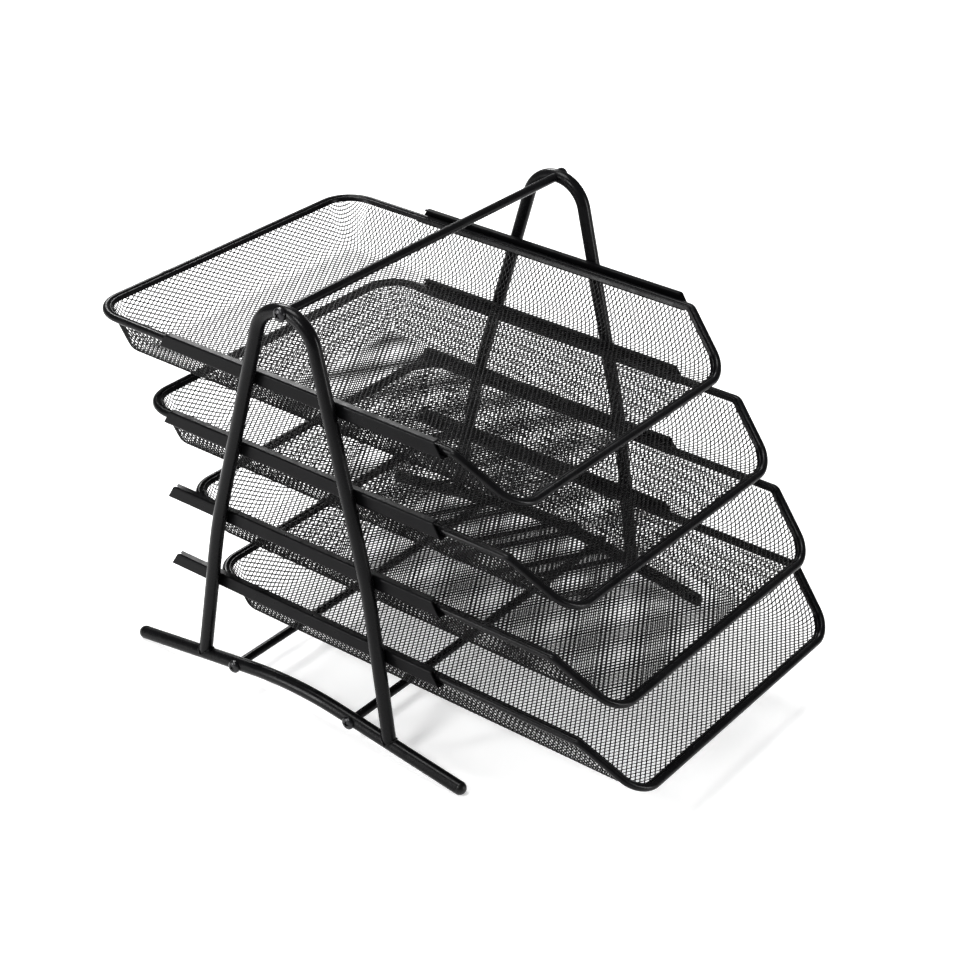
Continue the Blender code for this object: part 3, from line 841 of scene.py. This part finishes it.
def painted(name, base, roughness, shine, grain, grain_height, metallic=0.0):
    """A procedural finish: faint blotches in the colour, patchy gloss, and fine grain as bump.

    grain is the number of bumps in a metre, about, and grain_height how high they stand.
    """
    darker, lighter = 0.8, 1.35
    blotches, patches = 45.0, 120.0
    smoother, rougher = 0.05, 0.07
    material = bpy.data.materials.new(name)
    material.use_nodes = True
    tree = material.node_tree
    shader = tree.nodes["Principled BSDF"]
    shader.inputs["Metallic"].default_value = metallic
    shader.inputs["Specular IOR Level"].default_value = shine
    place = tree.nodes.new("ShaderNodeTexCoord").outputs["Object"]

    def noise(scale, detail):
        texture = tree.nodes.new("ShaderNodeTexNoise")
        texture.inputs["Scale"].default_value = scale
        texture.inputs["Detail"].default_value = detail
        tree.links.new(place, texture.inputs["Vector"])
        return texture.outputs["Fac"]

    def ramp(source, low, high):
        """The noise's middle part, from 0.3 to 0.7, spread over low to high."""
        mapped = tree.nodes.new("ShaderNodeMapRange")
        for name, value in (("From Min", 0.3), ("From Max", 0.7), ("To Min", low), ("To Max", high)):
            mapped.inputs[name].default_value = value
        tree.links.new(source, mapped.inputs["Value"])
        return mapped.outputs["Result"]

    blend = tree.nodes.new("ShaderNodeMix")
    blend.data_type = "RGBA"
    blend.inputs["A"].default_value = (*(darker * c for c in base), 1.0)
    blend.inputs["B"].default_value = (*(lighter * c for c in base), 1.0)
    tree.links.new(ramp(noise(blotches, 4.0), 0.0, 1.0), blend.inputs["Factor"])
    tree.links.new(blend.outputs["Result"], shader.inputs["Base Color"])
    gloss = ramp(noise(patches, 3.0), roughness - smoother, roughness + rougher)
    tree.links.new(gloss, shader.inputs["Roughness"])
    bump = tree.nodes.new("ShaderNodeBump")
    bump.inputs["Strength"].default_value = 0.5
    bump.inputs["Distance"].default_value = grain_height
    tree.links.new(noise(grain, 2.0), bump.inputs["Height"])
    tree.links.new(bump.outputs["Normal"], shader.inputs["Normal"])


# ---------------------------------------------------------------- operators


class LETTERTRAY_OT_finishes(bpy.types.Operator):
    """Makes the paint, plastic and screw finishes"""

    bl_idname = "letter_tray.finishes"
    bl_label = "Finishes"

    def execute(self, context):
        looks = context.scene.letter_tray.finish
        painted("powder_coat", looks.paint, looks.gloss, looks.shine, 1400.0, 0.00006)
        painted("rail_coat", looks.paint, looks.gloss + 0.06, 0.6 * looks.shine, 1100.0, 0.00003)
        painted("mesh_coat", looks.mesh_paint, looks.gloss + 0.06, looks.shine, 1600.0, 0.00004)
        painted("cap_plastic", looks.plastic, 0.30, looks.shine + 0.1, 900.0, 0.00002)
        painted("screw_blacking", looks.screw, 0.28, 0.5, 2000.0, 0.00002, metallic=0.5)
        return {"FINISHED"}


class LETTERTRAY_OT_side_frames(bpy.types.Operator):
    """Builds both side frames: arch, base tube and end caps"""

    bl_idname = "letter_tray.side_frames"
    bl_label = "Side frames"

    def execute(self, context):
        settings = context.scene.letter_tray
        for label, side in SIDES.items():
            build_side_frame(settings, label, side)
        return {"FINISHED"}


class LETTERTRAY_OT_rods(bpy.types.Operator):
    """Builds the handle bar, the low rods and their screws"""

    bl_idname = "letter_tray.rods"
    bl_label = "Rods and screws"

    def execute(self, context):
        build_rods(context.scene.letter_tray)
        return {"FINISHED"}


class LETTERTRAY_OT_rails(bpy.types.Operator):
    """Builds the eight folded rails"""

    bl_idname = "letter_tray.rails"
    bl_label = "Rails"

    def execute(self, context):
        for tier in TIERS:
            for label, side in SIDES.items():
                build_rail(context.scene.letter_tray, label, side, tier)
        return {"FINISHED"}


class LETTERTRAY_OT_rims(bpy.types.Operator):
    """Builds the trays' rim wires"""

    bl_idname = "letter_tray.rims"
    bl_label = "Rim wires"

    def execute(self, context):
        for tier in TIERS:
            build_rim(context.scene.letter_tray, tier)
        return {"FINISHED"}


class LETTERTRAY_OT_baskets(bpy.types.Operator):
    """Builds the trays' mesh baskets"""

    bl_idname = "letter_tray.baskets"
    bl_label = "Mesh baskets"

    def execute(self, context):
        for tier in TIERS:
            build_basket(context.scene.letter_tray, tier)
        return {"FINISHED"}


class LETTERTRAY_OT_hems(bpy.types.Operator):
    """Builds the strips folded over the mesh's edges"""

    bl_idname = "letter_tray.hems"
    bl_label = "Edge strips"

    def execute(self, context):
        for tier in TIERS:
            build_hem(context.scene.letter_tray, tier)
        return {"FINISHED"}


class LETTERTRAY_OT_stage(bpy.types.Operator):
    """Sets up the floor, the room, the lights and the camera"""

    bl_idname = "letter_tray.stage"
    bl_label = "Stage"

    def execute(self, context):
        stage = context.scene.letter_tray.stage
        context.scene.view_settings.view_transform = "Standard"
        self.floor(context, stage)
        self.room(context, stage)
        for name, place, size, power in SOFTBOXES:
            self.softbox(context, name, place, size, power)
        self.camera(context, stage)
        return {"FINISHED"}

    def floor(self, context, stage):
        """Lays a wide, matt, pale floor that glows a little, so that shadows stay faint."""
        reach = 14.0
        mesh = bpy.data.meshes.new("floor")
        corners = [(-reach, -reach, 0.0), (reach, -reach, 0.0), (reach, reach, 0.0), (-reach, reach, 0.0)]
        mesh.from_pydata(corners, [], [(0, 1, 2, 3)])
        material = bpy.data.materials.new("studio_floor")
        material.use_nodes = True
        shader = material.node_tree.nodes["Principled BSDF"]
        shader.inputs["Base Color"].default_value = (*stage.floor, 1.0)
        shader.inputs["Roughness"].default_value = 0.85
        shader.inputs["Specular IOR Level"].default_value = 0.0
        shader.inputs["Emission Color"].default_value = (1.0, 1.0, 1.0, 1.0)
        shader.inputs["Emission Strength"].default_value = stage.glow
        mesh.materials.append(material)
        floor = bpy.data.objects.new("floor", mesh)
        context.scene.collection.objects.link(floor)

    def room(self, context, stage):
        """Gives the world an even white light, and makes it look lighter to the camera than it shines."""
        world = bpy.data.worlds.new("studio")
        world.use_nodes = True
        tree = world.node_tree
        background = tree.nodes["Background"]
        background.inputs["Color"].default_value = (1.0, 1.0, 1.0, 1.0)
        rays = tree.nodes.new("ShaderNodeLightPath")
        seen = tree.nodes.new("ShaderNodeMapRange")
        seen.inputs["To Min"].default_value = stage.sky
        seen.inputs["To Max"].default_value = stage.backdrop
        tree.links.new(rays.outputs["Is Camera Ray"], seen.inputs["Value"])
        tree.links.new(seen.outputs["Result"], background.inputs["Strength"])
        context.scene.world = world

    def softbox(self, context, name, place, size, power):
        """Adds a rectangular area light, size wide and high, that faces the middle of the object."""
        light = bpy.data.lights.new(name, "AREA")
        light.shape = "RECTANGLE"
        light.size, light.size_y = size
        light.energy = power
        lamp = bpy.data.objects.new(name, light)
        lamp.visible_camera = False
        facing = Vector(LIGHTS_FACE) - Vector(place)
        lamp.matrix_world = Matrix.Translation(place) @ facing.to_track_quat("-Z", "Y").to_matrix().to_4x4()
        context.scene.collection.objects.link(lamp)

    def camera(self, context, stage):
        """Adds the camera. Its level line of sight is tilted down, and the view is turned about that line."""
        camera = bpy.data.cameras.new("camera")
        camera.lens = stage.lens
        camera.sensor_width = 36.0
        camera.shift_x, camera.shift_y = stage.shift
        camera.clip_start, camera.clip_end = 0.05, 60.0
        view = bpy.data.objects.new("camera", camera)
        turn, tilt = stage.azimuth, stage.elevation
        forward = Vector((-math.sin(turn) * math.cos(tilt), math.cos(turn) * math.cos(tilt), -math.sin(tilt)))
        right = Matrix.Rotation(-stage.roll, 3, forward) @ Vector((math.cos(turn), math.sin(turn), 0.0))
        axes = Matrix((right, right.cross(forward), -forward)).transposed()
        view.matrix_world = Matrix.Translation(stage.camera_place) @ axes.to_4x4()
        context.scene.collection.objects.link(view)
        context.scene.camera = view


STEPS = (
    LETTERTRAY_OT_finishes,
    LETTERTRAY_OT_side_frames,
    LETTERTRAY_OT_rods,
    LETTERTRAY_OT_rails,
    LETTERTRAY_OT_rims,
    LETTERTRAY_OT_baskets,
    LETTERTRAY_OT_hems,
    LETTERTRAY_OT_stage,
)


class LETTERTRAY_PT_sidebar(bpy.types.Panel):
    """Lists the settings and the steps that build the letter tray"""

    bl_idname = "LETTERTRAY_PT_sidebar"
    bl_label = "Letter Tray"
    bl_space_type = "VIEW_3D"
    bl_region_type = "UI"
    bl_category = "Letter Tray"

    def draw(self, context):
        settings = context.scene.letter_tray
        for group in ("frame", "rail", "tray", "mesh", "finish", "stage"):
            part = getattr(settings, group)
            box = self.layout.box()
            box.label(text=group.capitalize())
            for name in part.__annotations__:
                box.prop(part, name)
        for step in STEPS:
            self.layout.operator(step.bl_idname)


CLASSES = (
    FrameSizes,
    RailSizes,
    TraySizes,
    MeshSizes,
    Finishes,
    StageSizes,
    LetterTray,
    *STEPS,
    LETTERTRAY_PT_sidebar,
)


def register():
    """Registers the settings, the operators and the panel."""
    for item in CLASSES:
        bpy.utils.register_class(item)
    bpy.types.Scene.letter_tray = PointerProperty(type=LetterTray)


def unregister():
    """Takes them away again."""
    del bpy.types.Scene.letter_tray
    for item in reversed(CLASSES):
        bpy.utils.unregister_class(item)


def main():
    register()
    for step in STEPS:
        group, name = step.bl_idname.split(".")
        getattr(getattr(bpy.ops, group), name)()


if __name__ == "__main__":
    main()
